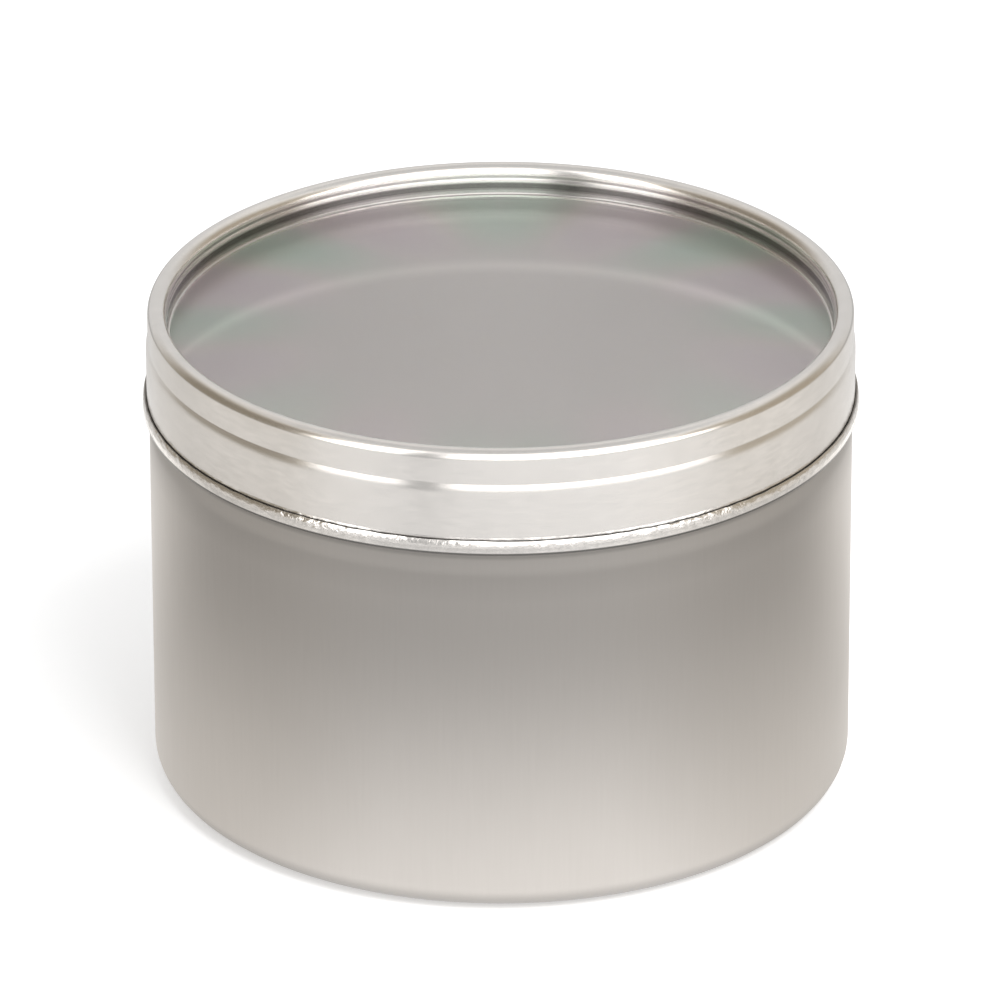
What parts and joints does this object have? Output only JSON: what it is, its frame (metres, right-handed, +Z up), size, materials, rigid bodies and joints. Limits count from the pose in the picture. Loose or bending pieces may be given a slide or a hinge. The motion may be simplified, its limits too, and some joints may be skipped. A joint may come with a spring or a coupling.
{
  "type": "window lid tin",
  "caption": "Round seamless tin with a straight-sided drawn body and a slip-on lid, whose rolled rim frames a flat clear window.",
  "frame": {"origin": "centre of the base, on the surface that the tin stands on", "axes": "+Z up the tin's axis; the tin is round, so X and Y are free, and the picture looks along +Y from above"},
  "size_m": [0.0784, 0.0784, 0.0551],
  "materials": {
    "satin_tinplate": "satin drawn tinplate with a faint vertical grain",
    "bright_tinplate": "bright tinplate with a fine rolling grain round the lid",
    "clear_film": "clear glossy rigid film"
  },
  "bodies": {
    "tin": {"body": "satin_tinplate"},
    "lid": {"lid_ring": "bright_tinplate", "window": "clear_film"}
  },
  "joints": [
    {"name": "lid_lift", "type": "slide", "parent": "tin", "child": "lid", "axis": [0, 0, 1], "range_m": [0, 0.03]}
  ]
}
